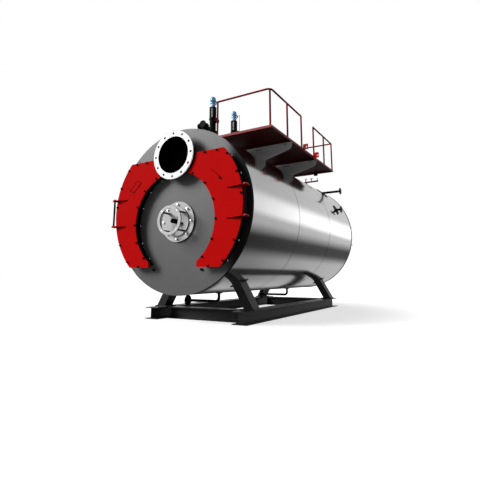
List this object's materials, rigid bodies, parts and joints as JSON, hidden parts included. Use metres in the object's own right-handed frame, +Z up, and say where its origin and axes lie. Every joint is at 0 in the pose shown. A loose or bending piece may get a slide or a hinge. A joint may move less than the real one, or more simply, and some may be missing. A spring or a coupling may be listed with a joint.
{
  "type": "horizontal fire-tube steam boiler",
  "caption": "Horizontal steam boiler with a polished lagged shell on a skid, hinged red smoke box doors, front flue outlet, burner opening and a railed platform on top.",
  "frame": {"origin": "on the floor under the shell axis, half-way along the whole length", "axes": "+X to the right and +Y to the rear as the burner end is faced, +Z up"},
  "size_m": [3.086, 6.504, 4.582],
  "materials": {
    "jacket": "brushed",
    "shell_steel": "matt",
    "plate_grey": "satin",
    "black_paint": "satin",
    "door_red": "gloss",
    "lining": "matt",
    "dark_red": "satin",
    "light_grey": "satin",
    "white_paint": "satin",
    "cap_blue": "satin",
    "base_grey": "satin"
  },
  "bodies": {
    "boiler": {"jacket_front": "jacket", "jacket_middle": "jacket", "jacket_rear": "jacket", "pressure_shell": "shell_steel", "front_plate": "plate_grey", "front_plate_rim": "plate_grey", "tube_plate": "shell_steel", "fire_tubes": "shell_steel", "rear_plate": "black_paint", "rear_cover": "door_red", "smoke_box_left": "black_paint", "smoke_box_right": "black_paint", "smoke_box_cover": "black_paint", "flue_neck": "black_paint", "flue_flange": "white_paint", "hinge_lugs": "door_red", "hinge_pins": "dark_red", "swing_bolts": "light_grey", "burner_plate": "light_grey", "burner_cage": "light_grey", "burner_bars": "black_paint", "burner_stub": "black_paint", "valve_nozzles": "black_paint", "front_safety_valve": "black_paint", "front_safety_head": "cap_blue", "rear_safety_valve": "black_paint", "rear_safety_head": "cap_blue", "steam_valve": "black_paint", "deck": "dark_red", "brackets": "plate_grey", "front_rail": "dark_red", "rear_rail": "dark_red", "level_nozzles": "black_paint", "front_blow_down": "black_paint", "rear_blow_down": "black_paint", "gauge_rack": "door_red", "front_legs": "base_grey", "rear_legs": "base_grey", "long_beams": "base_grey", "cross_beams": "base_grey"},
    "left_door": {"left_door": "door_red", "left_door_lining": "lining"},
    "right_door": {"right_door": "door_red", "right_door_lining": "lining"},
    "steam_wheel": {"steam_valve_wheel": "black_paint"}
  },
  "joints": [
    {"name": "left_door_hinge", "type": "hinge", "parent": "boiler", "child": "left_door", "pos_m": [-1.47, -3.15, 1.985], "axis": [0, 0, -1], "range_deg": [0, 120]},
    {"name": "right_door_hinge", "type": "hinge", "parent": "boiler", "child": "right_door", "pos_m": [1.47, -3.15, 1.985], "axis": [0, 0, 1], "range_deg": [0, 120]},
    {"name": "steam_wheel_turn", "type": "hinge", "parent": "boiler", "child": "steam_wheel", "pos_m": [0, -2.314, 3.845], "axis": [0, -1, 0], "continuous": true}
  ]
}
